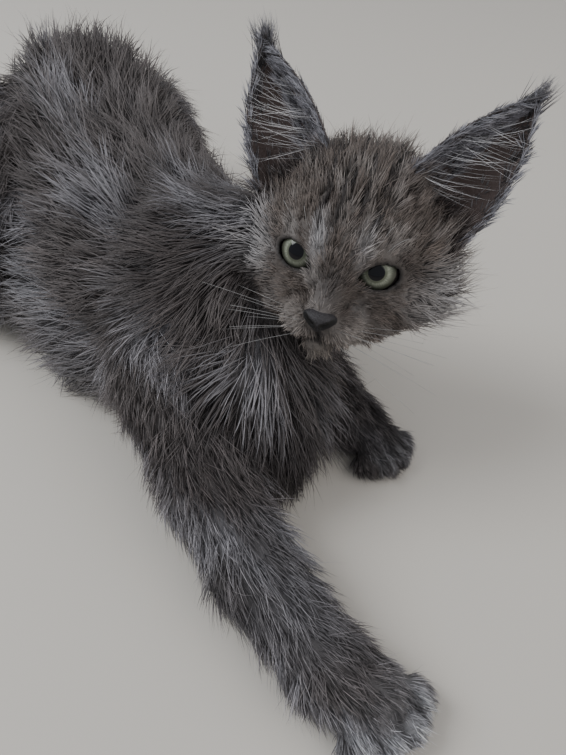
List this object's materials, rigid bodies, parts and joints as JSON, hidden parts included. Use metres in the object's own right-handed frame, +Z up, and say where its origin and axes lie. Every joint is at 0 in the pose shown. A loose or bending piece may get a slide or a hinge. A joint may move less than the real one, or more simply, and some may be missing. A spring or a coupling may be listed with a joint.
{
  "type": "maine coon cat",
  "caption": "Long-haired kitten lying on its belly, one foreleg stretched out in front, head turned aside and raised.",
  "frame": {"origin": "on the floor, under the front of the chest, in the middle of the flat that the breast rests on", "axes": "+X the way the trunk faces, from the rump to the chest; +Y to the kitten's left; +Z up from the floor"},
  "size_m": [0.531, 0.2232, 0.1541],
  "materials": {
    "coat": "soft smoke-grey long hair",
    "ear": "short grey hair, long pale hair inside",
    "eye": "wet gloss, pale grey-green iris, dark pupil",
    "nose_leather": "dark, slightly moist leather"
  },
  "bodies": {
    "root": {"torso": "coat", "neck": "coat", "head": "coat", "ear_left": "ear", "ear_right": "ear", "eye_left": "eye", "eye_right": "eye", "nose": "nose_leather", "foreleg_left": "coat", "foreleg_right": "coat", "forepaw_left": "coat", "forepaw_right": "coat", "hindleg_left": "coat", "hindleg_right": "coat", "hindpaw_left": "coat", "hindpaw_right": "coat", "tail": "coat"}
  },
  "joints": []
}
